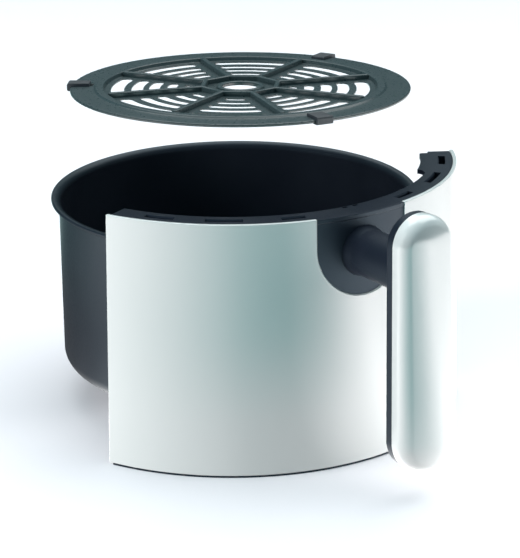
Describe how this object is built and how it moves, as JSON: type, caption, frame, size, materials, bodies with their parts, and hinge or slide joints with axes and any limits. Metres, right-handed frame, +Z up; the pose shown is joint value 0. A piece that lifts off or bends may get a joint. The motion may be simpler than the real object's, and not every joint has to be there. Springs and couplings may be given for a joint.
{
  "type": "air fryer pan",
  "caption": "Round coated fryer pan with a curved front panel, a vertical handle on a round neck, and a slotted grid held above it that lowers into the pot.",
  "frame": {"origin": "on the pot's axis, in the plane the pan stands on (the underside of the base tray)", "axes": "+Z up along the pot's axis, -Y out through the handle at the front, +X to the right seen from the front"},
  "size_m": [0.265, 0.3379, 0.215],
  "materials": {
    "coated_steel": "semi-gloss non-stick coating",
    "coated_grid": "satin non-stick coating",
    "white_gloss": "high gloss",
    "dark_plastic": "fine satin texture",
    "silicone": "matt",
    "steel": "zinc plated"
  },
  "bodies": {
    "pan": {"pot": "coated_steel", "front_panel": "white_gloss", "grip_cover": "white_gloss", "base_tray": "dark_plastic", "inner_shell": "dark_plastic", "top_frame": "dark_plastic", "handle_insert": "dark_plastic", "handle_neck": "dark_plastic", "grip_back": "dark_plastic", "pot_spacers": "silicone", "pot_studs": "steel", "stud_washers": "steel", "stud_nuts": "steel", "base_screws": "steel", "panel_screws": "steel", "frame_screws": "steel", "heat_shield": "steel", "shield_screws": "steel", "mounting_bracket": "steel", "bracket_rivets": "steel", "neck_screws": "steel", "grip_screws": "steel"},
    "grid": {"grid_plate": "coated_grid", "grid_pad_front": "silicone", "grid_pad_right": "silicone", "grid_pad_left": "silicone"}
  },
  "joints": [
    {"name": "grid_lift", "type": "slide", "parent": "pan", "child": "grid", "axis": [0.021, -0.0135, 0.9997], "range_m": [-0.1712, 0]}
  ]
}
